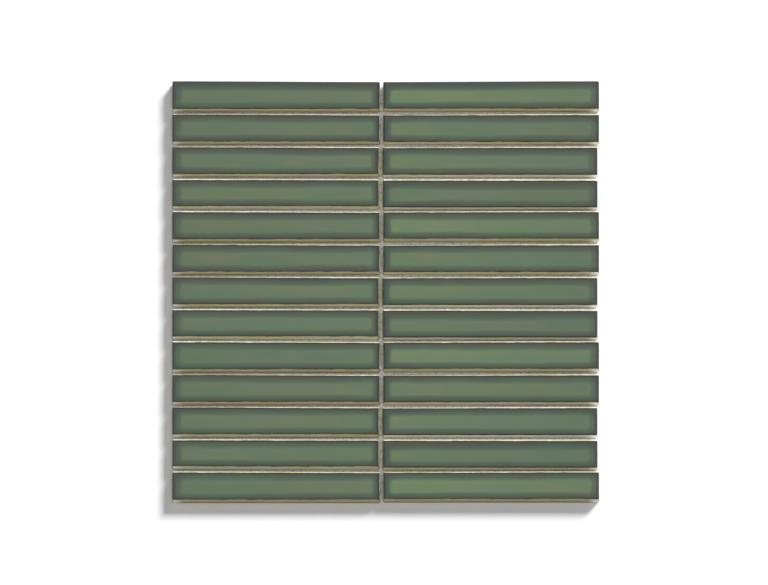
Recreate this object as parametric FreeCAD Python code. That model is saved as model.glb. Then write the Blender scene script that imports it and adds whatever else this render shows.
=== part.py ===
import FreeCAD, Part
import math
import os

# Mosaic sheet of long glazed finger tiles, laid face up in two columns on a scrim mesh.
# Millimetres. X runs along the tiles, Y up the sheet and Z out of the glazed faces.
# The origin is under the middle of the sheet, on the plane that the mesh rests on.

# Tile, as fired. The width and lengths are taken round the widest level of the body.
TILE_WIDTH = 21.0
TILE_THICKNESS = 8.0
LEFT_LENGTH = 143.85
RIGHT_LENGTH = 149.6
CORNER_RADIUS = 1.6
SIDE_DRAFT_DEGREES = 1.2
BACK_EASE = 0.4

# The glazed face swells from its rounded arris to a flat strip along the middle.
ARRIS_RADIUS = 1.2
CROWN_RISE = 0.35
CROWN_FLAT_WIDTH = 5.0

# Rounded stretches are worked as this many flat facets.
CORNER_FACETS = 4
ARRIS_FACETS = 4
CROWN_FACETS = 2

# Keying grooves that run the length of the unglazed back.
GROOVE_COUNT = 3
GROOVE_PITCH = 5.4
GROOVE_MOUTH = 2.6
GROOVE_FLOOR = 1.8
GROOVE_DEPTH = 0.6

# Laying. The rows repeat this pattern: how much shorter the kiln left the left tile and
# the right tile, and the joint left open between their ends.
ROW_COUNT = 13
ROW_JOINT = 2.46
ROW_PATTERN = (
    (0.0, 0.0, 1.8),
    (0.45, 0.15, 2.4),
    (1.05, 0.8, 2.55),
    (0.95, 0.95, 2.65),
)

# Scrim mesh: flattened glass threads laid in two layers, bonded where they cross.
THREAD_PITCH = 5.83
THREAD_WIDTH = 0.8
THREAD_FLAT = 0.5
THREAD_THICKNESS = 0.28
MESH_INSET = 5.5

ROW_PITCH = TILE_WIDTH + ROW_JOINT
SHEET_HEIGHT = ROW_COUNT * ROW_PITCH - ROW_JOINT
TILE_BED = 2 * THREAD_THICKNESS


def vector(x, y, z):
    return FreeCAD.Vector(x, y, z)


def row_sizes(row):
    """Left tile length, right tile length and end joint of one row, counted from the top."""
    left_short, right_short, joint = ROW_PATTERN[row % len(ROW_PATTERN)]
    return LEFT_LENGTH - left_short, RIGHT_LENGTH - right_short, joint


SHEET_LENGTH = max(sum(row_sizes(row)) for row in range(ROW_COUNT))


def tile_profile():
    """The levels of a tile's side from back to face, as (height, inset, corner radius)."""
    draft = math.radians(SIDE_DRAFT_DEGREES)
    crown_inset = (TILE_WIDTH - CROWN_FLAT_WIDTH) / 2
    crown_slope = math.atan(2 * CROWN_RISE / (crown_inset - ARRIS_RADIUS))
    arris_end = math.pi / 2 - crown_slope
    centre_height = TILE_THICKNESS - CROWN_RISE - ARRIS_RADIUS * math.sin(arris_end)
    side_top = centre_height + ARRIS_RADIUS * math.sin(draft)
    centre_inset = (side_top - BACK_EASE) * math.tan(draft) + ARRIS_RADIUS * math.cos(draft)

    levels = [(0.0, BACK_EASE, CORNER_RADIUS - BACK_EASE), (BACK_EASE, 0.0, CORNER_RADIUS)]
    for step in range(ARRIS_FACETS + 1):
        angle = draft + (arris_end - draft) * step / ARRIS_FACETS
        inset = centre_inset - ARRIS_RADIUS * math.cos(angle)
        height = centre_height + ARRIS_RADIUS * math.sin(angle)
        levels.append((height, inset, CORNER_RADIUS - inset))

    crown_start = levels[-1][1]
    for step in range(1, CROWN_FACETS + 1):
        share = step / CROWN_FACETS
        inset = crown_start + (crown_inset - crown_start) * share
        height = TILE_THICKNESS - CROWN_RISE * (1 - share) ** 2
        levels.append((height, inset, CORNER_RADIUS))
    return levels


def rounded_outline(length, width, radius, height):
    """The corners of a rectangle about the Z axis whose own corners are rounded off."""
    points = []
    for quarter, (side_x, side_y) in enumerate(((1, 1), (-1, 1), (-1, -1), (1, -1))):
        for step in range(CORNER_FACETS + 1):
            angle = (quarter + step / CORNER_FACETS) * math.pi / 2
            x = side_x * (length / 2 - radius) + radius * math.cos(angle)
            y = side_y * (width / 2 - radius) + radius * math.sin(angle)
            points.append(vector(x, y, height))
    return points


def flat_face(points):
    return Part.Face(Part.makePolygon(points + points[:1]))


def pressed_body(length):
    """The tile without its grooves: outlines stacked up the profile and skinned over."""
    rings = []
    for height, inset, radius in tile_profile():
        rings.append(rounded_outline(length - 2 * inset, TILE_WIDTH - 2 * inset, radius, height))
    faces = [flat_face(rings[0]), flat_face(rings[-1])]
    for lower, upper in zip(rings, rings[1:]):
        for here in range(len(lower)):
            before = here - 1
            faces.append(flat_face([lower[before], lower[here], upper[here], upper[before]]))
    return Part.makeSolid(Part.makeShell(faces))


def prism_along_x(section, start, length):
    """A straight bar along X from a list of (y, z) corners."""
    return flat_face([vector(start, y, z) for y, z in section]).extrude(vector(length, 0, 0))


def back_grooves(length):
    """The keying grooves, as bars that run out past both ends of the tile."""
    bars = []
    for number in range(GROOVE_COUNT):
        y = (number - (GROOVE_COUNT - 1) / 2) * GROOVE_PITCH
        section = [
            (y - GROOVE_MOUTH / 2, 0),
            (y - GROOVE_FLOOR / 2, GROOVE_DEPTH),
            (y + GROOVE_FLOOR / 2, GROOVE_DEPTH),
            (y + GROOVE_MOUTH / 2, 0),
        ]
        bars.append(prism_along_x(section, -length, 2 * length))
    return bars


def make_tile(length):
    """One finger tile with its back on z = 0 and its middle on the Z axis."""
    return pressed_body(length).cut(back_grooves(length))


def make_thread(length):
    """One flattened thread along X, resting on z = 0, with its middle on the Z axis."""
    edge = THREAD_WIDTH / 2
    flat = THREAD_FLAT / 2
    section = [
        (-flat, 0),
        (flat, 0),
        (edge, THREAD_THICKNESS / 2),
        (flat, THREAD_THICKNESS),
        (-flat, THREAD_THICKNESS),
        (-edge, THREAD_THICKNESS / 2),
    ]
    return prism_along_x(section, -length / 2, length)


def thread_layer(thread_length, span):
    """Parallel threads along X at the mesh pitch, centred across the span they cover."""
    spaces = int((span - THREAD_WIDTH) // THREAD_PITCH)
    layer = []
    for number in range(spaces + 1):
        thread = make_thread(thread_length)
        thread.translate(vector(0, (number - spaces / 2) * THREAD_PITCH, 0))
        layer.append(thread)
    return Part.makeCompound(layer)


def save(name, shape):
    shape.exportStep(os.path.join("parts", name + ".step"))


def save_mesh():
    """Both layers of the scrim. The lower one runs up the sheet and carries it."""
    mesh_length = SHEET_LENGTH - 2 * MESH_INSET
    mesh_height = SHEET_HEIGHT - 2 * MESH_INSET
    upright = thread_layer(mesh_height, mesh_length)
    upright.rotate(vector(0, 0, 0), vector(0, 0, 1), 90)
    save("mesh_threads_upright", upright)
    lengthwise = thread_layer(mesh_length, mesh_height)
    lengthwise.translate(vector(0, 0, THREAD_THICKNESS))
    save("mesh_threads_lengthwise", lengthwise)


def save_row(row):
    """The two tiles of one row, bedded on the mesh, their left ends in line."""
    left_length, right_length, joint = row_sizes(row)
    y = (SHEET_HEIGHT - TILE_WIDTH) / 2 - row * ROW_PITCH
    left_start = -SHEET_LENGTH / 2
    right_start = left_start + left_length + joint
    columns = (("left", left_start, left_length), ("right", right_start, right_length))
    for column, start, length in columns:
        tile = make_tile(length)
        tile.translate(vector(start + length / 2, y, TILE_BED))
        save("tile_row_%02d_%s" % (row + 1, column), tile)


os.makedirs("parts", exist_ok=True)
save_mesh()
for row in range(ROW_COUNT):
    save_row(row)
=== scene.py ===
import math

import bmesh
import bpy
import numpy as np
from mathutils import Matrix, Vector, noise


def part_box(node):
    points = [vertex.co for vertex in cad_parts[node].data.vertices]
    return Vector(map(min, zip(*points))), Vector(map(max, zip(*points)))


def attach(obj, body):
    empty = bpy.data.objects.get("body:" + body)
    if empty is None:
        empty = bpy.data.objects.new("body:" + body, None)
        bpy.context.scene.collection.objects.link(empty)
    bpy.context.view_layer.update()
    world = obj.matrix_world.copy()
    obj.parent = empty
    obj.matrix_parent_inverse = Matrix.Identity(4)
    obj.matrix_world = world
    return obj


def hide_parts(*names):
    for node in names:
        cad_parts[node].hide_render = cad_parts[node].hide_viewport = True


# Glazed finger mosaic sheet on a woven mesh, seen from almost straight above.
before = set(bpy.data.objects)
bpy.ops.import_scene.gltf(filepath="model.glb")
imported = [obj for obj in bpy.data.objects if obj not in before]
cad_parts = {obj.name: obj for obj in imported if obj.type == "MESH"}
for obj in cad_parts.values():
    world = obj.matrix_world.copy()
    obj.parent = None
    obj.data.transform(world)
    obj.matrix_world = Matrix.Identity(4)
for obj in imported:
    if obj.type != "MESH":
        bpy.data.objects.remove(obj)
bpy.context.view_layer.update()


def rgb(red, green, blue):
    return (red, green, blue, 1.0)


MM = 0.001
WHITE = rgb(1.0, 1.0, 1.0)

# The photograph's frame and where the sheet sits in it.
IMAGE_WIDTH = 768
IMAGE_HEIGHT = 585
SHEET_CENTRE_PX = (385.7, 293.7)
METRES_PER_PX = 0.6912 * MM
CAMERA_TILT = math.radians(16.5)
CAMERA_DISTANCE = 2.0
CAMERA_REACH = 20.0

# The floor in metres. It lies a hair under the sheet.
FLOOR_HALF_WIDTH = 6.0
FLOOR_DROP = 0.00002
FLOOR_COLOUR = rgb(0.80, 0.80, 0.80)

# The lights, in degrees. Azimuth is counted from +X, spread is how wide a light looks from the
# sheet, and share is how near it brings a level white surface to white.
SUNS = {
    "key": {"azimuth": 51.0, "elevation": 29.5, "spread": 22.0, "share": 0.75},
    "front": {"azimuth": -90.0, "elevation": 88.0, "spread": 14.0, "share": 0.075},
    "fill": {"azimuth": -90.0, "elevation": 60.0, "spread": 38.0, "share": 0.19},
}
SUN_DISTANCE = 2.0
ROOM_LIGHT = rgb(0.0768, 0.0800, 0.0840)

# Tile form in millimetres, beyond what the solids' boxes give.
CORNER_RADIUS = 1.2
SMALLEST_CORNER = 0.25
SIDE_DRAFT = math.tan(math.radians(1.2))
BACK_EASE = 0.4
ARRIS_RADIUS = 1.2
CROWN_RISE = 0.35
END_ROLL = 9.0
RIDGE_HALF_WIDTH = 0.6
SHARP_ANGLE = math.radians(38)

# Keying grooves along the back, and how far the bars that cut them stand out of the tile.
GROOVES = (-5.4, 0.0, 5.4)
GROOVE_MOUTH = 2.6
GROOVE_FLOOR = 1.8
GROOVE_DEPTH = 0.6
CUTTER_DROP = 0.3
CUTTER_OVERRUN = 2.0

# How many steps a tile's corners, long sides, ends, lower side, arris and face are made in.
CORNER_STEPS = 5
LONG_STEPS = 30
SHORT_STEPS = 6
SIDE_STEPS = 3
ARRIS_STEPS = 7
FACE_STEPS = 9

# The wander of a tile's edges and the ripple of its face, in millimetres: how large they are,
# how far in from the ends the wander reaches, and how many waves there are to a millimetre.
EDGE_WANDER = 0.10
END_WANDER_REACH = 6.0
LONG_EDGE_WAVES = 0.035
END_WAVES = 0.08
GLAZE_RIPPLE = 0.018
RIPPLE_WAVES = (0.12, 0.22)

# How far under the top of the arris a point may lie, in millimetres, and still ripple as the face.
FACE_MARGIN = 0.01

# How far apart in the noise opposite edges, the ripple, rows and columns are read.
EDGES_APART = 3.0
RIPPLE_APART = 40.0
ROWS_APART = 3.7
COLUMNS_APART = {"left": 0.0, "right": 1.9}

# Woven mesh in millimetres: each upright is a pair of yarns that twist round the flat wefts.
# Steps are counted to one pitch.
THREAD_PITCH = 5.83
SOLID_THREAD_WIDTH = 0.8
YARN_WIDTH = 0.40
YARN_THICKNESS = 0.20
PAIR_SPREAD = 0.24
YARN_STEPS = 6
WEFT_WIDTH = 0.9
WEFT_THICKNESS = 0.16
WEFT_PINCH = 0.14
WEFT_STEPS = 3

# The corners of a yarn's section, as shares of its half width and half thickness.
YARN_SECTION = ((1.0, 0.0), (0.6, 1.0), (-0.6, 1.0), (-1.0, 0.0), (-0.6, -1.0), (0.6, -1.0))

# How far threads stray sideways in millimetres, how many waves of it there are to a millimetre,
# and where each kind of thread is read in the noise: the step from one to the next, and the level.
THREAD_DRIFT = 0.12
DRIFT_WAVES = 0.05
WEFT_DRIFT_PLACE = (7.1, 2.0)
WARP_DRIFT_PLACE = (5.3, 8.0)

# Each tile came out of the kiln a little different in shape and colour, in a pattern that repeats every
# four rows; the same pattern also sets the painted light in the joints.
COLUMNS = ("left", "right")
ROW_COUNT = 13
ROW_CYCLE = 4

# How light the middle of each tile is, in the pattern of rows.
TONES = {
    "left": (1.04, 1.04, 1.06, 1.07),
    "right": (1.28, 1.12, 1.15, 1.06),
}

# How light each column is at its outer ends and at its inner ends, as shares of that.
TONE_RUNS = {"left": (0.98, 1.06), "right": (0.92, 1.08)}

# How far the lower edge stands back, in millimetres: in the pattern of rows, and in the last row.
LOWER_TRIMS = {
    "left": (0.10, 0.10, 0.15, 0.45),
    "right": (0.35, 0.05, 0.00, 0.00),
}
LAST_ROW_TRIMS = {"left": 0.0, "right": 0.35}

# How far the glaze has built the inner end of a tile out into the joint, in millimetres.
INNER_END_REACH = {
    "left": (0.05, 0.38, 0.48, 0.32),
    "right": (0.00, 0.25, 0.32, 0.22),
}

# How far the upper edge bows in, at the outer end and at the inner end, in millimetres.
UPPER_BOWS = {
    "left": ((-0.12, 0.34), (0.35, 0.60), (0.30, 0.52), (0.20, 0.42)),
    "right": ((-0.12, 0.25), (0.25, 0.88), (0.35, 0.85), (0.35, 0.42)),
}
TOP_ROW_BOW = (0.0, 0.60)

# Width of the thin-glazed rim on the upper edge, at the outer and the inner end, and on the
# other edges of a tile, in millimetres.
UPPER_RIMS = {
    "left": ((1.05, 1.05), (0.60, 1.00), (0.65, 1.15), (1.05, 1.05)),
    "right": ((1.00, 0.92), (1.12, 0.75), (1.20, 0.85), (1.50, 1.25)),
}
LOWER_RIMS = {
    "left": (0.45, 0.45, 0.45, 0.45),
    "right": (0.50, 0.30, 0.12, 0.05),
}
INNER_END_RIM = {"left": 0.45, "right": 0.60}
SHEET_EDGE_RIM = 0.05

# How much further in the upper side is grey, in millimetres: by the pattern of rows, and on the
# top row.
UPPER_SHADES = {
    "left": (0.0, 0.0, 0.0, 0.0),
    "right": (0.0, 0.2, 0.3, 1.3),
}
TOP_ROW_SHADE = 1.4

# Painted light on the lower side in the joints: how far it lifts that side towards white, in the same
# pattern of rows.
PAINTED_JOINT_LIGHTS = {
    "left": (0.00, 0.10, 0.10, 1.00),
    "right": (0.00, 0.25, 0.90, 1.00),
}

# Painted light that whitens the side near each inner end, in the same pattern, and near the
# outer ends, where light comes into the joints.
INNER_END_PAINTED_LIGHT = {
    "left": (0.0, 0.0, 0.0, 0.1),
    "right": (0.1, 0.0, 0.5, 0.9),
}
OUTER_END_PAINTED_LIGHT = 1.0

# Colours of the face, each pair a darker and a lighter or a cooler and a warmer one.
HEART_COLOURS = (rgb(0.088, 0.134, 0.079), rgb(0.113, 0.139, 0.083))
COOL_HEART = rgb(0.090, 0.135, 0.098)
TURN_COLOURS = (rgb(0.055, 0.090, 0.060), rgb(0.061, 0.089, 0.055))
OUTER_TURN = rgb(0.084, 0.110, 0.076)
SHADE_COLOURS = (rgb(0.042, 0.060, 0.060), rgb(0.054, 0.060, 0.050))
LINE_COLOUR = rgb(0.010, 0.013, 0.006)

# How far in from the rims the glaze takes to reach its full green, in millimetres.
UPPER_FADE = 6.8
LOWER_FADE = 5.4
INNER_END_FADE = 6.0
OUTER_END_FADE = 7.2

# Shares of that way: over which the shade turns green, the turn becomes heart and the tile's own
# tone comes in, and over which the lighter turn of the outer ends gives way again.
TURN_SPAN = (0.18, 0.55)
HEART_SPAN = (0.50, 1.0)
TONE_SPAN = (0.55, 1.0)
OUTER_TURN_SPAN = (0.35, 0.75)

# How round the corners of the full green are, 1 being square, and how much its edge wavers.
CORNER_SOFTNESS = 1.15
FADE_WOBBLE = 0.12
WOBBLE_SPAN = (0.25, 0.75)

# The dark line that ends the glaze: its width in millimetres, and how strong it is at each kind
# of tile end.
LINE_WIDTH = 1.30
LINE_CORE = 0.25
INNER_END_LINE = 1.0
OUTER_END_LINE = 0.2

# The glaze is more olive next to that line.
OLIVE_WIDTH = 2.1
OLIVE_TINT = rgb(0.97, 0.90, 0.58)

# Painted shade at the ends: how much of its colour the glaze keeps there, over this many millimetres.
END_PAINTED_SHADE_WIDTH = 3.2
INNER_END_PAINTED_SHADE = {"left": 0.38, "right": 0.93}
OUTER_END_PAINTED_SHADE = {"left": 1.0, "right": 0.62}

# The lower long side of each face has a painted shade of its own, over this many millimetres.
LOWER_PAINTED_SHADE_WIDTH = 6.0
LOWER_PAINTED_SHADE = rgb(1.0, 1.0, 0.95)

# Colours of the sides, down from the thin glaze at the rim to the foot of the fired clay.
UPPER_RIM_COLOURS = (rgb(0.63, 0.62, 0.53), rgb(0.52, 0.54, 0.32))
LOWER_RIM_COLOURS = (rgb(0.58, 0.57, 0.36), rgb(0.50, 0.52, 0.22))
RIM_CHIPS = rgb(0.80, 0.79, 0.73)
CLAY_COLOURS = (rgb(0.62, 0.57, 0.35), rgb(0.55, 0.56, 0.27))
CLAY_STAIN = rgb(0.56, 0.46, 0.42)
# Painted light: the clay as the light in the joints would lift it.
PAINTED_LIT_CLAY = rgb(0.86, 0.83, 0.68)
FOOT_COLOURS = (rgb(0.56, 0.44, 0.34), rgb(0.64, 0.54, 0.45))
# Painted light: the foot as the light in the joints would lift it.
PAINTED_LIT_FOOT = rgb(0.93, 0.90, 0.84)
# Painted shade where the foot meets the mesh.
FOOT_PAINTED_SHADE = rgb(0.24, 0.19, 0.14)
# Painted light near the tile ends, on the side and on the upper rim.
SIDE_PAINTED_LIGHT = rgb(0.94, 0.93, 0.87)
RIM_PAINTED_LIGHT = rgb(0.90, 0.89, 0.82)
END_GLAZE = rgb(0.34, 0.37, 0.15)
BACK_COLOURS = (rgb(0.50, 0.38, 0.29), rgb(0.60, 0.47, 0.37))
BACK_WASH = rgb(0.70, 0.62, 0.53)

# Heights above a tile's back in millimetres: where the green glaze stops, where foot turns to
# clay and clay to rim, where the glaze that has run over the ends thins out, and how far all of
# these but the first wander up and down.
GLAZE_FOOT = (6.4, 6.9)
CLAY_FOOT = (3.0, 5.2)
RIM_FOOT = (6.4, 7.4)
END_GLAZE_FOOT = (4.8, 7.2)
DRIP = 1.0

# Painted shade at the very foot, where the side meets the mesh, from where to where in millimetres.
# On the lower side of the last row, which stands in the open, it is browner and reaches further up.
FOOT_SHADE_START = 0.3
FOOT_SHADE_TOP = 1.6
OPEN_FOOT_SHADE_TOP = 4.2
OPEN_PAINTED_SHADE = rgb(0.80, 0.81, 0.62)

# How much of the painted joint light shows on the clay and on the painted shade at the foot.
PAINTED_LIT_CLAY_SHARE = 0.45
PAINTED_LIT_FOOT_SHADE_SHARE = 0.8

# Distances from a tile's end in millimetres: over which the painted light of the joints and of the
# ends sets in, over which the painted end light on the side and on the rim ends again, and where
# the glaze has run over the end.
UNPAINTED_CORNER = (0.1, 0.9)
SIDE_PAINTED_LIGHT_SPAN = (1.0, 9.0)
RIM_PAINTED_LIGHT_SPAN = (0.5, 6.0)
END_GLAZE_SPAN = (-0.1, 0.5)

# How much less painted end light the upper side gets, below its rim.
UPPER_SIDE_PAINTED_LIGHT_LOSS = 0.9

# The noise in the tiles: its patches to a metre, or to a metre of X, Y and Z.
BLOTCH_SCALE = (24.0, 85.0, 60.0)
DRIFT_SCALE = (10.0, 90.0, 60.0)
STREAK_SCALE = (45.0, 45.0, 300.0)
STAIN_SCALE = (25.0, 25.0, 120.0)
CHIP_SCALE = (260.0, 500.0, 500.0)
WASH_SCALE = (30.0, 120.0, 30.0)
GRAIN_SCALE = 400.0
RAGGED_SCALE = (120.0, 300.0, 300.0)
SPECK_SCALE = 900.0
RIPPLE_SCALE = 260.0

# How far apart in the noise those are read that share a tile's seed.
DRIFT_APART = 20.0
STAIN_APART = 9.0
CHIP_APART = 15.0
WASH_APART = 30.0

# The stretch of each noise over which one look turns into the other.
BLOTCH_SPAN = (0.36, 0.66)
COOL_HEART_SPAN = (0.42, 0.72)
SHADE_SPAN = (0.38, 0.62)
RIM_SPAN = (0.38, 0.62)
CHIP_SPAN = (0.52, 0.66)
CLAY_SPAN = (0.40, 0.60)
CLAY_STAIN_SPAN = (0.50, 0.70)
FOOT_SPAN = (0.35, 0.65)
DRIP_SPAN = (0.2, 0.8)
GRAIN_SPAN = (0.3, 0.7)
WASH_SPAN = (0.48, 0.66)
RAGGED_SPAN = (0.2, 0.8)
SPECK_SPAN = (0.3, 0.7)

# How much of the cool heart, the clay's stain and the back's wash shows at most.
COOL_HEART_SHARE = 0.6
CLAY_STAIN_SHARE = 0.7
WASH_SHARE = 0.7

# The edge between face and rim in millimetres: how ragged it is, and how soft.
RIM_RAGGEDNESS = 0.18
RIM_EDGE = (-0.24, 0.18)

# How far down a surface has to look to show the bare back.
BACK_FACING = (-0.7, -0.3)

# Shine and fine relief of the tiles. Bump distances are in metres.
GLAZE_ROUGHNESS = (0.30, 0.40)
CLAY_ROUGHNESS = 0.70
TILE_SPECULAR = 0.3
RIPPLE_STRENGTH = 0.12
RIPPLE_DEPTH = 0.0002

# The coated glass yarn, in the same way.
YARN_COLOURS = (rgb(0.70, 0.70, 0.66), rgb(0.86, 0.86, 0.83))
YARN_STAIN = rgb(0.66, 0.64, 0.56)
FIBRE_SCALE = 2500.0
FIBRE_SPAN = (0.3, 0.7)
YARN_STAIN_SCALE = 60.0
YARN_STAIN_SPAN = (0.45, 0.75)
YARN_STAIN_SHARE = 0.5
YARN_ROUGHNESS = 0.55
FIBRE_STRENGTH = 0.5
FIBRE_DEPTH = 0.0001


class Nodes:
    """A short way to write a node tree: each call adds a node and gives its output."""

    def __init__(self, tree):
        self.tree = tree

    def fill(self, node, links):
        """Joins each named input to an output, or sets it to a value."""
        for key, value in links.items():
            if isinstance(value, bpy.types.NodeSocket):
                self.tree.links.new(value, node.inputs[key])
            else:
                node.inputs[key].default_value = value

    def add(self, kind, links=None, out=0, **settings):
        node = self.tree.nodes.new(kind)
        for name, value in settings.items():
            setattr(node, name, value)
        self.fill(node, links or {})
        return node.outputs[out]

    def math(self, operation, a, b=0.0, clamp=False):
        return self.add("ShaderNodeMath", {0: a, 1: b}, operation=operation, use_clamp=clamp)

    def ramp(self, value, span, levels=(0.0, 1.0)):
        """A smooth step over the span, from the first level to the second."""
        links = {"Value": value, "From Min": span[0], "From Max": span[1]}
        links.update({"To Min": levels[0], "To Max": levels[1]})
        return self.add("ShaderNodeMapRange", links, interpolation_type="SMOOTHSTEP")

    def mix(self, factor, a, b, blend="MIX"):
        """From colour a to colour b."""
        links = {0: factor, 6: a, 7: b}
        return self.add("ShaderNodeMix", links, out=2, data_type="RGBA", blend_type=blend)

    def blend(self, value, span, colours):
        """From the first of two colours to the second over the span."""
        return self.mix(self.ramp(value, span), *colours)

    def tinted(self, colour, tint):
        return self.mix(1.0, colour, tint, "MULTIPLY")

    def grey(self, level):
        return self.add("ShaderNodeCombineColor", {0: level, 1: level, 2: level})

    def noise(self, where, scale, detail, seed=None, apart=0.0):
        """Soft noise between 0 and 1. A scale of three numbers stretches it."""
        links = {"Vector": where, "Scale": scale, "Detail": detail}
        if isinstance(scale, tuple):
            stretched = self.add("ShaderNodeVectorMath", {0: where, 1: scale}, operation="MULTIPLY")
            links.update({"Vector": stretched, "Scale": 1.0})
        if seed is None:
            return self.add("ShaderNodeTexNoise", links, noise_dimensions="3D")
        links["W"] = self.math("ADD", seed, apart)
        return self.add("ShaderNodeTexNoise", links, noise_dimensions="4D")

    def bump(self, height, strength, distance):
        links = {"Strength": strength, "Distance": distance, "Height": height}
        return self.add("ShaderNodeBump", links)

    def split(self, vector):
        node = self.tree.nodes.new("ShaderNodeSeparateXYZ")
        self.tree.links.new(vector, node.inputs[0])
        return node.outputs

    def attribute(self, name, out="Fac"):
        return self.add("ShaderNodeAttribute", out=out, attribute_name=name)

    def split_attribute(self, name):
        return self.split(self.attribute(name, "Vector"))


def new_material(name):
    material = bpy.data.materials.new(name)
    material.use_nodes = True
    material.node_tree.nodes.clear()
    return material, Nodes(material.node_tree)


def finish_tree(nodes, kind, shader):
    output = nodes.tree.nodes.new(kind)
    nodes.tree.links.new(shader, output.inputs["Surface"])


class Place:
    """What is known of a point on a tile, from the values that are stored on the mesh."""

    def __init__(self, n):
        spot = n.split_attribute("spot")
        half = n.split_attribute("half")
        rim = n.split_attribute("rim")
        self.where = n.add("ShaderNodeTexCoord", out="Object")
        self.seed, self.tone, self.upper_shade = n.split_attribute("lot")
        # The third of the ends values is painted shade at the ends.
        self.end_fade, self.end_line, self.end_painted_shade = n.split_attribute("ends")
        self.above = n.math("SUBTRACT", n.math("SUBTRACT", half[1], spot[1]), rim[0])
        self.below = n.math("SUBTRACT", n.math("ADD", half[1], spot[1]), rim[1])
        from_end = n.math("SUBTRACT", half[0], n.math("ABSOLUTE", spot[0]))
        self.end_gap = n.math("SUBTRACT", from_end, rim[2])
        self.upper = n.math("GREATER_THAN", spot[1], 0.0)
        self.height = spot[2]


def green_share(n, at, blotch):
    """How much of its full green the glaze has: none at the rims of the face and all inside."""
    from_upper = n.math("DIVIDE", n.math("SUBTRACT", at.above, at.upper_shade), UPPER_FADE)
    from_lower = n.math("DIVIDE", at.below, LOWER_FADE)
    from_side = n.math("MINIMUM", from_upper, from_lower)
    from_end = n.math("DIVIDE", at.end_gap, at.end_fade)
    side = n.math("SUBTRACT", 1.0, n.math("DIVIDE", from_side, CORNER_SOFTNESS), clamp=True)
    end = n.math("SUBTRACT", 1.0, n.math("DIVIDE", from_end, CORNER_SOFTNESS), clamp=True)
    corner = n.math("SQRT", n.math("ADD", n.math("POWER", side, 2.0), n.math("POWER", end, 2.0)))
    share = n.math("MULTIPLY", n.math("SUBTRACT", 1.0, corner), CORNER_SOFTNESS)
    wobble = n.ramp(blotch, WOBBLE_SPAN, (-FADE_WOBBLE, FADE_WOBBLE))
    return n.math("SUBTRACT", share, wobble, clamp=True)


def heart_colour(n, at, blotch, drift, share):
    """The full green, with the tile's own tone in the very middle."""
    heart = n.blend(blotch, BLOTCH_SPAN, HEART_COLOURS)
    heart = n.mix(n.ramp(drift, COOL_HEART_SPAN, (0.0, COOL_HEART_SHARE)), heart, COOL_HEART)
    blue = n.math("POWER", at.tone, 0.5)
    lit = n.add("ShaderNodeCombineColor", {0: at.tone, 1: at.tone, 2: blue})
    return n.mix(n.ramp(share, TONE_SPAN), heart, n.tinted(heart, lit))


def turn_colour(n, at, blotch):
    """The darker green between heart and shade. It is lighter near the outer ends."""
    turn = n.blend(blotch, BLOTCH_SPAN, TURN_COLOURS)
    outer = n.ramp(at.end_fade, (INNER_END_FADE, OUTER_END_FADE))
    from_end = n.math("DIVIDE", at.end_gap, at.end_fade)
    near = n.ramp(from_end, OUTER_TURN_SPAN, (1.0, 0.0))
    return n.mix(n.math("MULTIPLY", outer, near), turn, OUTER_TURN)


def face_colour(n, at):
    """Green heart that greys and darkens towards a dark line, with soft blotches along the tile.
    Painted shade darkens the lower long side and the ends.
    """
    blotch = n.noise(at.where, BLOTCH_SCALE, 3.0, at.seed)
    drift = n.noise(at.where, DRIFT_SCALE, 1.0, at.seed, DRIFT_APART)
    share = green_share(n, at, blotch)
    shade = n.blend(drift, SHADE_SPAN, SHADE_COLOURS)
    colour = n.mix(n.ramp(share, TURN_SPAN), shade, turn_colour(n, at, blotch))
    colour = n.mix(n.ramp(share, HEART_SPAN), colour, heart_colour(n, at, blotch, drift, share))
    # Painted shade towards the lower long side.
    colour = n.tinted(colour, n.blend(at.below, (0.0, LOWER_PAINTED_SHADE_WIDTH), (LOWER_PAINTED_SHADE, WHITE)))
    # Painted shade at the ends of the face.
    painted_end_shade = n.ramp(at.end_gap, (0.0, END_PAINTED_SHADE_WIDTH), (at.end_painted_shade, 1.0))
    colour = n.tinted(colour, n.grey(painted_end_shade))
    long_gap = n.math("MINIMUM", at.above, at.below)
    colour = n.tinted(colour, n.blend(long_gap, (LINE_WIDTH, OLIVE_WIDTH), (OLIVE_TINT, WHITE)))
    long_line = n.ramp(long_gap, (LINE_CORE, LINE_WIDTH), (1.0, 0.0))
    end_line = n.ramp(at.end_gap, (LINE_CORE, LINE_WIDTH), (1.0, 0.0))
    line = n.math("MAXIMUM", long_line, n.math("MULTIPLY", end_line, at.end_line))
    return n.mix(line, colour, LINE_COLOUR)


def rim_colour(n, at, streak):
    """Thin glaze at the rim, chipped on the upper side and yellower on the lower one."""
    chip = n.noise(at.where, CHIP_SCALE, 2.0, at.seed, CHIP_APART)
    rim = n.blend(streak, RIM_SPAN, UPPER_RIM_COLOURS)
    rim = n.mix(n.ramp(chip, CHIP_SPAN), rim, RIM_CHIPS)
    return n.mix(at.upper, n.blend(streak, RIM_SPAN, LOWER_RIM_COLOURS), rim)


def clay_colour(n, streak, stain, painted_joint_light):
    """The middle of the side, tan with pink stains, lifted by painted light in the joints."""
    clay = n.blend(streak, CLAY_SPAN, CLAY_COLOURS)
    clay = n.mix(n.ramp(stain, CLAY_STAIN_SPAN, (0.0, CLAY_STAIN_SHARE)), clay, CLAY_STAIN)
    return n.mix(n.math("MULTIPLY", painted_joint_light, PAINTED_LIT_CLAY_SHARE), clay, PAINTED_LIT_CLAY)


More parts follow.
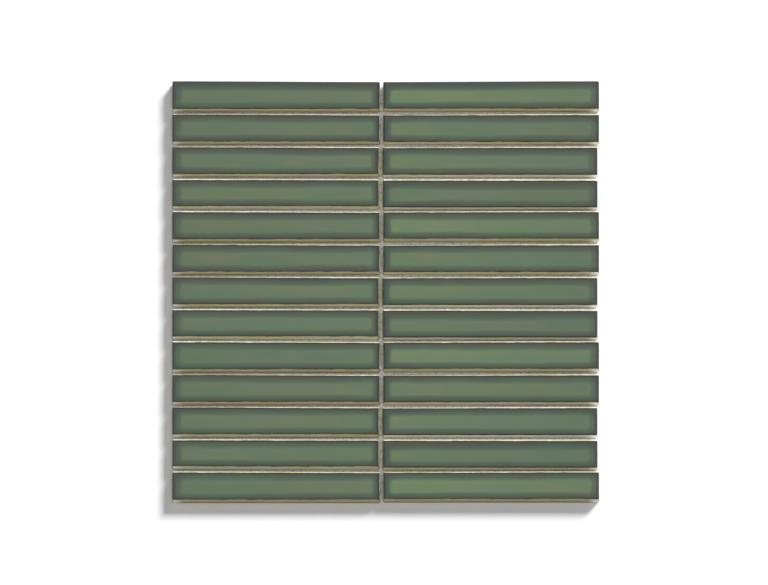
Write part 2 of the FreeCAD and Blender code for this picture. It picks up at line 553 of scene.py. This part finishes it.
def foot_colour(n, stain, painted_joint_light, drip, open_side):
    """The foot of the side, redder, with painted shade where it meets the mesh and painted light in the
    joints.
    """
    foot = n.blend(stain, FOOT_SPAN, FOOT_COLOURS)
    foot = n.mix(painted_joint_light, foot, PAINTED_LIT_FOOT)
    dark = n.mix(n.math("MULTIPLY", painted_joint_light, PAINTED_LIT_FOOT_SHADE_SHARE), FOOT_PAINTED_SHADE, foot)
    painted_shade_top = n.ramp(open_side, (0.0, 1.0), (FOOT_SHADE_TOP, OPEN_FOOT_SHADE_TOP))
    return n.mix(n.ramp(drip, (FOOT_SHADE_START, painted_shade_top)), dark, foot)


def side_colour(n, at):
    """Thin yellow-green glaze at the rim, over tan clay that reddens towards the mesh.
    Painted light lifts the joints and the tile ends, and painted shade darkens the open side of the last
    row.
    """
    streak = n.noise(at.where, STREAK_SCALE, 3.0, at.seed)
    stain = n.noise(at.where, STAIN_SCALE, 2.0, at.seed, STAIN_APART)
    corner = n.ramp(at.end_gap, UNPAINTED_CORNER)
    # Painted light in the joints, kept off the very corners.
    painted_joint_light = n.math("MULTIPLY", n.attribute("painted_joint_light"), corner)
    open_side = n.attribute("open")
    drip = n.math("ADD", at.height, n.ramp(streak, DRIP_SPAN, (-DRIP, DRIP)))
    foot = foot_colour(n, stain, painted_joint_light, drip, open_side)
    colour = n.mix(n.ramp(drip, CLAY_FOOT), foot, clay_colour(n, streak, stain, painted_joint_light))
    # Painted shade on the open lower side of the last row.
    colour = n.mix(open_side, colour, n.tinted(colour, OPEN_PAINTED_SHADE))

    # Painted light on the side near the tile ends, less on the upper side.
    end_painted_light = n.math("MULTIPLY", n.attribute("end_painted_light"), corner)
    painted_light_share = n.math("MULTIPLY", end_painted_light, n.ramp(at.end_gap, SIDE_PAINTED_LIGHT_SPAN, (1.0, 0.0)))
    loss = n.math("MULTIPLY", at.upper, UPPER_SIDE_PAINTED_LIGHT_LOSS)
    colour = n.mix(n.math("SUBTRACT", painted_light_share, loss, clamp=True), colour, SIDE_PAINTED_LIGHT)
    on_rim = n.ramp(drip, RIM_FOOT)
    colour = n.mix(on_rim, colour, rim_colour(n, at, streak))
    # Painted light on the upper rim near the tile ends.
    painted_light_share = n.math("MULTIPLY", at.upper, on_rim)
    painted_light_share = n.math("MULTIPLY", painted_light_share, n.ramp(at.end_gap, RIM_PAINTED_LIGHT_SPAN, (1.0, 0.0)))
    colour = n.mix(n.math("MULTIPLY", painted_light_share, end_painted_light), colour, RIM_PAINTED_LIGHT)
    over_end = n.ramp(at.end_gap, END_GLAZE_SPAN, (1.0, 0.0))
    over_end = n.math("MULTIPLY", over_end, n.ramp(drip, END_GLAZE_FOOT))
    return n.mix(over_end, colour, END_GLAZE)


def back_colour(n, at):
    """Bare fired clay, pinkish tan with paler wash marks."""
    grain = n.noise(at.where, GRAIN_SCALE, 3.0, at.seed)
    wash = n.noise(at.where, WASH_SCALE, 3.0, at.seed, WASH_APART)
    colour = n.blend(grain, GRAIN_SPAN, BACK_COLOURS)
    return n.mix(n.ramp(wash, WASH_SPAN, (0.0, WASH_SHARE)), colour, BACK_WASH)


def glaze_cover(n, at):
    """1 where green glaze lies on the tile and 0 where only the rim's thin glaze or clay does."""
    ragged = n.noise(at.where, RAGGED_SCALE, 2.0, at.seed)
    shift = n.ramp(ragged, RAGGED_SPAN, (-RIM_RAGGEDNESS, RIM_RAGGEDNESS))
    gap = n.math("MINIMUM", n.math("MINIMUM", at.above, at.below), at.end_gap)
    inside = n.ramp(n.math("ADD", gap, shift), RIM_EDGE)
    return n.math("MULTIPLY", inside, n.ramp(at.height, GLAZE_FOOT))


def glaze_material():
    """Satin green glaze over tan clay."""
    material, n = new_material("green_glaze")
    at = Place(n)
    cover = glaze_cover(n, at)
    facing = n.split(n.add("ShaderNodeTexCoord", out="Normal"))[2]
    side = n.mix(n.ramp(facing, BACK_FACING), back_colour(n, at), side_colour(n, at))
    gloss = n.ramp(n.noise(at.where, SPECK_SCALE, 2.0, at.seed), SPECK_SPAN, GLAZE_ROUGHNESS)
    ripple = n.noise(at.where, RIPPLE_SCALE, 2.0, at.seed)
    links = {
        "Base Color": n.mix(cover, side, face_colour(n, at)),
        "Roughness": n.add("ShaderNodeMix", {0: cover, 2: CLAY_ROUGHNESS, 3: gloss}),
        "Specular IOR Level": TILE_SPECULAR,
        "Normal": n.bump(ripple, RIPPLE_STRENGTH, RIPPLE_DEPTH),
    }
    finish_tree(n, "ShaderNodeOutputMaterial", n.add("ShaderNodeBsdfPrincipled", links))
    return material


def mesh_material():
    """White coated glass yarn with a fine twist along each thread."""
    material, n = new_material("scrim_yarn")
    where = n.add("ShaderNodeTexCoord", out="Object")
    fibre = n.noise(where, FIBRE_SCALE, 3.0)
    stain = n.ramp(n.noise(where, YARN_STAIN_SCALE, 2.0), YARN_STAIN_SPAN, (0.0, YARN_STAIN_SHARE))
    links = {
        "Base Color": n.mix(stain, n.blend(fibre, FIBRE_SPAN, YARN_COLOURS), YARN_STAIN),
        "Roughness": YARN_ROUGHNESS,
        "Normal": n.bump(fibre, FIBRE_STRENGTH, FIBRE_DEPTH),
    }
    finish_tree(n, "ShaderNodeOutputMaterial", n.add("ShaderNodeBsdfPrincipled", links))
    return material


def white_to_the_eye(n, colour):
    """White where it is seen straight, in a reflection or through glass, and else the colour."""
    light = n.tree.nodes.new("ShaderNodeLightPath")
    seen = n.math("MAXIMUM", light.outputs["Is Camera Ray"], light.outputs["Is Glossy Ray"])
    seen = n.math("MAXIMUM", seen, light.outputs["Is Transmission Ray"])
    return n.mix(seen, colour, WHITE)


def floor_material():
    """White paper that shows as plain white where nothing shades it."""
    material, n = new_material("white_floor")
    shader = n.add("ShaderNodeBsdfDiffuse", {"Color": white_to_the_eye(n, FLOOR_COLOUR)})
    finish_tree(n, "ShaderNodeOutputMaterial", shader)
    return material


def put(name, data):
    """A new object in the scene that shows this mesh, light or camera."""
    thing = bpy.data.objects.new(name, data)
    bpy.context.scene.collection.objects.link(thing)
    return thing


def outline(half_x, half_y, radius):
    """Points round a rectangle with rounded corners, evenly spread, anticlockwise."""
    points = []
    signs = ((1, 1), (-1, 1), (-1, -1), (1, -1))
    for quarter, (sx, sy) in enumerate(signs):
        centre = (sx * (half_x - radius), sy * (half_y - radius))
        for step in range(CORNER_STEPS + 1):
            angle = (quarter + step / CORNER_STEPS) * math.pi / 2
            points.append((centre[0] + radius * math.cos(angle), centre[1] + radius * math.sin(angle)))
        nx, ny = signs[(quarter + 1) % 4]
        steps = LONG_STEPS if quarter % 2 == 0 else SHORT_STEPS
        goal_angle = (quarter + 1) * math.pi / 2
        goal = (
            nx * (half_x - radius) + radius * math.cos(goal_angle),
            ny * (half_y - radius) + radius * math.sin(goal_angle),
        )
        last = points[-1]
        for step in range(1, steps):
            share = step / steps
            points.append((last[0] + (goal[0] - last[0]) * share, last[1] + (goal[1] - last[1]) * share))
    return np.array(points)


def side_levels(half_y, thickness):
    """The levels of a tile's side from its back edge to its face, as (height, inset)."""
    slope = math.atan(2 * CROWN_RISE / (half_y - ARRIS_RADIUS))
    arris_end = math.pi / 2 - slope
    centre_z = thickness - CROWN_RISE - ARRIS_RADIUS * math.sin(arris_end)
    levels = [(0.0, BACK_EASE), (BACK_EASE, 0.0)]
    for step in range(1, SIDE_STEPS):
        z = BACK_EASE + (centre_z - BACK_EASE) * step / SIDE_STEPS
        levels.append((z, (z - BACK_EASE) * SIDE_DRAFT))
    side_inset = (centre_z - BACK_EASE) * SIDE_DRAFT
    for step in range(ARRIS_STEPS + 1):
        angle = arris_end * step / ARRIS_STEPS
        inset = side_inset + ARRIS_RADIUS * (1 - math.cos(angle))
        levels.append((centre_z + ARRIS_RADIUS * math.sin(angle), inset))
    return levels


def face_height(x, y, half_x, half_y, thickness):
    """The crowned face: highest along the middle, rolling down to its four edges."""
    end = np.clip(1 - (half_x - np.abs(x)) / END_ROLL, 0, 1) ** 2
    side = np.clip(1 - (half_y - np.abs(y)) / half_y, 0, 1) ** 2
    return thickness - CROWN_RISE * (1 - (1 - end) * (1 - side))


def tile_rings(length, width, thickness):
    """Rings of points from the tile's back edge, up its side, over the arris and in to the middle."""
    half_x, half_y = length / 2, width / 2
    levels = side_levels(half_y, thickness)
    rings = []
    for z, inset in levels:
        plan = outline(half_x - inset, half_y - inset, max(CORNER_RADIUS - inset, SMALLEST_CORNER))
        rings.append(np.column_stack([plan, np.full(len(plan), z)]))
    face_inset = levels[-1][1]
    last_inset = half_y - RIDGE_HALF_WIDTH
    for step in range(1, FACE_STEPS + 1):
        inset = face_inset + (last_inset - face_inset) * (step / FACE_STEPS)
        plan = outline(half_x - inset, half_y - inset, SMALLEST_CORNER)
        z = face_height(plan[:, 0], plan[:, 1], half_x - face_inset, half_y - face_inset, thickness)
        rings.append(np.column_stack([plan, z]))
    return rings


def tile_mesh(name, size):
    """One true tile about its own middle, in millimetres."""
    rings = tile_rings(*size)
    count = len(rings[0])
    faces = []
    for start in range(0, (len(rings) - 1) * count, count):
        for here in range(count):
            after = (here + 1) % count
            faces.append((start + here, start + after, start + count + after, start + count + here))
    faces.append(tuple(reversed(range(count))))
    faces.append(tuple(range((len(rings) - 1) * count, len(rings) * count)))
    mesh = bpy.data.meshes.new(name)
    mesh.from_pydata([tuple(p) for p in np.vstack(rings)], [], faces)
    mesh.validate()
    return mesh


def closed_mesh(name, points, faces):
    """A mesh of closed bodies, with every face turned outwards."""
    mesh = bpy.data.meshes.new(name)
    mesh.from_pydata(points, [], faces)
    build = bmesh.new()
    build.from_mesh(mesh)
    bmesh.ops.recalc_face_normals(build, faces=build.faces)
    build.to_mesh(mesh)
    build.free()
    return mesh


def groove_cutter(length):
    """Bars across the back that leave its keying grooves when cut away."""
    flare = CUTTER_DROP * (GROOVE_MOUTH - GROOVE_FLOOR) / 2 / GROOVE_DEPTH
    points = []
    faces = []
    for y in GROOVES:
        base = len(points)
        section = (
            (y - GROOVE_MOUTH / 2 - flare, -CUTTER_DROP),
            (y - GROOVE_FLOOR / 2, GROOVE_DEPTH),
            (y + GROOVE_FLOOR / 2, GROOVE_DEPTH),
            (y + GROOVE_MOUTH / 2 + flare, -CUTTER_DROP),
        )
        for x in (-length / 2 - CUTTER_OVERRUN, length / 2 + CUTTER_OVERRUN):
            points += [(x, sy, sz) for sy, sz in section]
        for corner in range(4):
            after = (corner + 1) % 4
            faces.append((base + corner, base + after, base + 4 + after, base + 4 + corner))
        faces.append(tuple(base + i for i in (3, 2, 1, 0)))
        faces.append(tuple(base + i for i in (4, 5, 6, 7)))
    return closed_mesh("groove_cutter", points, faces)


def cut(piece, cutter_mesh):
    """Takes the cutter away from the piece and leaves it a plain mesh."""
    cutter = put("cutter", cutter_mesh)
    modifier = piece.modifiers.new("cut", "BOOLEAN")
    modifier.operation = "DIFFERENCE"
    modifier.solver = "EXACT"
    modifier.object = cutter
    bpy.context.view_layer.update()
    graph = bpy.context.evaluated_depsgraph_get()
    result = bpy.data.meshes.new_from_object(piece.evaluated_get(graph))
    piece.modifiers.clear()
    piece.data = result
    bpy.data.objects.remove(cutter)


def points_of(mesh):
    """The corner points of a mesh, one to a line of an array."""
    points = np.empty(len(mesh.vertices) * 3, dtype=np.float32)
    mesh.vertices.foreach_get("co", points)
    return points.reshape(-1, 3).astype(float)


def store(mesh, name, values):
    """Stores one number or one vector a point under this name."""
    kind, key = ("FLOAT_VECTOR", "vector") if values.ndim == 2 else ("FLOAT", "value")
    attribute = mesh.attributes.new(name, kind, "POINT")
    attribute.data.foreach_set(key, values.astype(np.float32).ravel())


def eased(run, values):
    """A smooth change from the outer end's value to the inner end's, at a run of 0 to 1."""
    return values[0] + (values[1] - values[0]) * run * run * (3 - 2 * run)


def tile_seed(row, column):
    """Where a tile is read in the noise."""
    return row * ROWS_APART + COLUMNS_APART[column]


def store_looks(mesh, points, size, row, column):
    """Stores on the mesh what the glaze has to know at each point."""
    cycle = (row - 1) % ROW_CYCLE
    inner = 1 if column == "left" else -1
    inner_end = points[:, 0] * inner > 0
    run = (1 + inner * points[:, 0] * 2 / size[0]) / 2
    same = np.ones(len(points))
    store(mesh, "spot", points)
    store(mesh, "half", np.column_stack([same * length / 2 for length in size]))

    upper_rim = same * SHEET_EDGE_RIM if row == 1 else eased(run, UPPER_RIMS[column][cycle])
    end_rim = np.where(inner_end, INNER_END_RIM[column], SHEET_EDGE_RIM)
    store(mesh, "rim", np.column_stack([upper_rim, same * LOWER_RIMS[column][cycle], end_rim]))
    # Painted light in the joints.
    store(mesh, "painted_joint_light", same * PAINTED_JOINT_LIGHTS[column][cycle])
    store(mesh, "open", same * (row == ROW_COUNT))
    # Painted light near the tile ends.
    store(mesh, "end_painted_light", np.where(inner_end, INNER_END_PAINTED_LIGHT[column][cycle], OUTER_END_PAINTED_LIGHT))

    fade = np.where(inner_end, INNER_END_FADE, OUTER_END_FADE)
    line = np.where(inner_end, INNER_END_LINE, OUTER_END_LINE)
    # Painted shade at the ends of the face.
    painted_end_shade = np.where(inner_end, INNER_END_PAINTED_SHADE[column], OUTER_END_PAINTED_SHADE[column])
    store(mesh, "ends", np.column_stack([fade, line, painted_end_shade]))
    outer_tone, inner_tone = TONE_RUNS[column]
    tone = TONES[column][cycle] * (outer_tone + (inner_tone - outer_tone) * run)
    upper_shade = TOP_ROW_SHADE if row == 1 else UPPER_SHADES[column][cycle]
    store(mesh, "lot", np.column_stack([same * tile_seed(row, column), tone, same * upper_shade]))


def wander(points, size, row, column):
    """Draws the edges in by a slowly changing amount and ripples the glazed face.

    The upper long side also bows in, by its own amounts at the outer and at the inner end.
    """
    seed = tile_seed(row, column)
    inner = 1 if column == "left" else -1
    bow = TOP_ROW_BOW if row == 1 else UPPER_BOWS[column][(row - 1) % ROW_CYCLE]
    half_x, half_y = size[0] / 2, size[1] / 2
    face_foot = size[2] - CROWN_RISE - FACE_MARGIN
    moved = points.copy()
    for here, (x, y, z) in enumerate(points):
        along_place = Vector((x * LONG_EDGE_WAVES, math.copysign(EDGES_APART, y), seed))
        along = 0.5 + 0.5 * noise.noise(along_place)
        across_place = Vector((math.copysign(EDGES_APART, x), y * END_WAVES, seed))
        across = 0.5 + 0.5 * noise.noise(across_place)
        side_share = min(1.0, abs(y) / half_y)
        end_share = max(0.0, 1 - (half_x - abs(x)) / END_WANDER_REACH)
        moved[here, 1] -= math.copysign(EDGE_WANDER * along * side_share, y)
        run = (1 + inner * x / half_x) / 2
        moved[here, 1] -= eased(run, bow) * (side_share if y > 0 else 0.0)
        moved[here, 0] -= math.copysign(EDGE_WANDER * across * end_share, x)
        if z > face_foot:
            ripple_place = Vector((x * RIPPLE_WAVES[0], y * RIPPLE_WAVES[1], seed + RIPPLE_APART))
            moved[here, 2] -= GLAZE_RIPPLE * (1 + noise.noise(ripple_place))
    return moved


def tile_box(node, row, column):
    """The solid's box in millimetres, with the lower edge trimmed and the inner end built out."""
    cycle = (row - 1) % ROW_CYCLE
    low, high = [[value / MM for value in corner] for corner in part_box(node)]
    low[1] += LAST_ROW_TRIMS[column] if row == ROW_COUNT else LOWER_TRIMS[column][cycle]
    if column == "left":
        high[0] += INNER_END_REACH[column][cycle]
    else:
        low[0] -= INNER_END_REACH[column][cycle]
    return low, high


def add_tile(row, column, material):
    """One glazed tile in place of its solid."""
    node = "tile_row_%02d_%s" % (row, column)
    name = node + "_glazed"
    low, high = tile_box(node, row, column)
    size = [b - a for a, b in zip(low, high)]
    piece = put(name, tile_mesh(name, size))
    cut(piece, groove_cutter(size[0]))
    mesh = piece.data
    mesh.name = name
    points = points_of(mesh)
    store_looks(mesh, points, size, row, column)

    bed = np.array([(low[0] + high[0]) / 2, (low[1] + high[1]) / 2, low[2]])
    moved = (wander(points, size, row, column) + bed) * MM
    mesh.vertices.foreach_set("co", moved.astype(np.float32).ravel())
    mesh.update()
    mesh.shade_smooth()
    mesh.set_sharp_from_angle(angle=SHARP_ANGLE)
    mesh.materials.clear()
    mesh.materials.append(material)
    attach(piece, "root")
    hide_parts(node)


def swept(path, along_x):
    """Points and faces of one yarn, from its (run, side, up, width, thickness) at each step."""
    points = []
    for run, side, up, width, thickness in path:
        for across, out in YARN_SECTION:
            offset = side + across * width / 2
            height = up + out * thickness / 2
            points.append((run, offset, height) if along_x else (offset, run, height))
    count = len(YARN_SECTION)
    last = (len(path) - 1) * count
    faces = []
    for start in range(0, last, count):
        for here in range(count):
            after = (here + 1) % count
            faces.append((start + here, start + count + here, start + count + after, start + after))
    faces.append(tuple(range(count)))
    faces.append(tuple(last + corner for corner in reversed(range(count))))
    return points, faces


def thread_places(low, high):
    """The middles of the threads that lie side by side between two edges, in millimetres."""
    spaces = round((high - low - SOLID_THREAD_WIDTH) / THREAD_PITCH)
    middle = (low + high) / 2
    return [middle + (number - spaces / 2) * THREAD_PITCH for number in range(spaces + 1)]


def thread_drift(run, number, place):
    """How far a thread has strayed sideways at this place along it."""
    step, level = place
    return THREAD_DRIFT * noise.noise(Vector((run * DRIFT_WAVES, number * step, level)))


def weft_threads(low, high, top):
    """Flat glass ribbons along the tiles, pinched where an upright pair grips them."""
    threads = []
    steps = int((high[0] - low[0]) / THREAD_PITCH * WEFT_STEPS)
    for number, y in enumerate(thread_places(low[1], high[1])):
        path = []
        for step in range(steps + 1):
            x = low[0] + (high[0] - low[0]) * step / steps
            side = y + thread_drift(x, number, WEFT_DRIFT_PLACE)
            pinch = WEFT_PINCH * (1 + math.cos(2 * math.pi * x / THREAD_PITCH))
            path.append((x, side, top / 2, WEFT_WIDTH * (1 - pinch), WEFT_THICKNESS))
        threads.append(swept(path, True))
    return threads


def warp_yarns(low, high, top, first, hand):
    """One yarn of each upright pair. It passes over or under at every weft and crosses between."""
    threads = []
    steps = round((high[1] - low[1]) / THREAD_PITCH * YARN_STEPS)
    for number, x in enumerate(thread_places(low[0], high[0])):
        path = []
        for step in range(steps + 1):
            y = low[1] + (high[1] - low[1]) * step / steps
            turn = math.pi * (y - first) / THREAD_PITCH
            side = x + thread_drift(y, number, WARP_DRIFT_PLACE) + hand * PAIR_SPREAD * math.sin(turn)
            up = top / 2 + hand * (top - YARN_THICKNESS) / 2 * math.cos(turn)
            path.append((y, side, up, YARN_WIDTH, YARN_THICKNESS))
        threads.append(swept(path, False))
    return threads


def join(name, parts):
    """One mesh object of many separate bodies, given in millimetres."""
    points = []
    faces = []
    for some_points, some_faces in parts:
        base = len(points)
        points += [tuple(c * MM for c in point) for point in some_points]
        faces += [tuple(base + corner for corner in face) for face in some_faces]
    mesh = closed_mesh(name, points, faces)
    mesh.shade_smooth()
    return put(name, mesh)


def add_threads(name, threads, node, material):
    """One piece of the woven mesh in place of its plain layer."""
    piece = join(name, threads)
    piece.data.materials.append(material)
    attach(piece, "root")
    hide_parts(node)


def add_scrim(material):
    """The woven mesh under the tiles, in the room that its two plain layers take up."""
    upright = "mesh_threads_upright"
    lengthwise = "mesh_threads_lengthwise"
    upright_low, upright_high = [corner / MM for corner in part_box(upright)]
    cross_low, cross_high = [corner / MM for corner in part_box(lengthwise)]
    top = cross_high[2]
    lowest = thread_places(cross_low[1], cross_high[1])[0]
    wefts = weft_threads(cross_low, cross_high, top)
    first = warp_yarns(upright_low, upright_high, top, lowest, 1)
    second = warp_yarns(upright_low, upright_high, top, lowest, -1)
    add_threads("scrim_wefts", wefts, lengthwise, material)
    add_threads("scrim_warps_first", first, upright, material)
    add_threads("scrim_warps_second", second, upright, material)


def add_floor():
    """A wide level sheet of white paper. It is staging, not part of the object."""
    reach = FLOOR_HALF_WIDTH
    corners = [(-reach, -reach), (reach, -reach), (reach, reach), (-reach, reach)]
    mesh = bpy.data.meshes.new("floor")
    mesh.from_pydata([(x, y, -FLOOR_DROP) for x, y in corners], [], [(0, 1, 2, 3)])
    mesh.materials.append(floor_material())
    put("floor", mesh)


def add_camera():
    """The photograph's view: without perspective, and tilted from straight above."""
    camera = bpy.data.cameras.new("camera")
    camera.type = "ORTHO"
    camera.ortho_scale = IMAGE_WIDTH * METRES_PER_PX
    camera.clip_end = CAMERA_REACH
    view = put("camera", camera)
    back = Vector((0, -math.sin(CAMERA_TILT), math.cos(CAMERA_TILT)))
    across = (IMAGE_WIDTH / 2 - SHEET_CENTRE_PX[0]) * METRES_PER_PX
    up = (SHEET_CENTRE_PX[1] - IMAGE_HEIGHT / 2) * METRES_PER_PX
    target = Vector((across, up / math.cos(CAMERA_TILT), 0))
    view.location = target + back * CAMERA_DISTANCE
    view.rotation_euler = (CAMERA_TILT, 0, 0)
    bpy.context.scene.camera = view


def add_world():
    """An even light from all round, behind which the background shows as white."""
    world = bpy.data.worlds.new("studio")
    world.use_nodes = True
    world.node_tree.nodes.clear()
    n = Nodes(world.node_tree)
    shader = n.add("ShaderNodeBackground", {"Color": white_to_the_eye(n, ROOM_LIGHT), "Strength": 1.0})
    finish_tree(n, "ShaderNodeOutputWorld", shader)
    bpy.context.scene.world = world


def add_sun(name, azimuth, elevation, spread, share):
    """A distant soft light that gives this share of white on a level surface."""
    turn = math.radians(azimuth)
    rise = math.radians(elevation)
    light = bpy.data.lights.new(name, "SUN")
    light.energy = share * math.pi / math.sin(rise)
    light.angle = math.radians(spread)
    lamp = put(name, light)
    direction = Vector((math.cos(rise) * math.cos(turn), math.cos(rise) * math.sin(turn), math.sin(rise)))
    lamp.rotation_euler = direction.to_track_quat("Z", "Y").to_euler()
    lamp.location = direction * SUN_DISTANCE


glaze = glaze_material()
for row in range(1, ROW_COUNT + 1):
    for column in COLUMNS:
        add_tile(row, column, glaze)

add_scrim(mesh_material())
add_floor()
add_camera()
add_world()
for name, aim in SUNS.items():
    add_sun(name, **aim)
bpy.context.scene.view_settings.view_transform = "Standard"
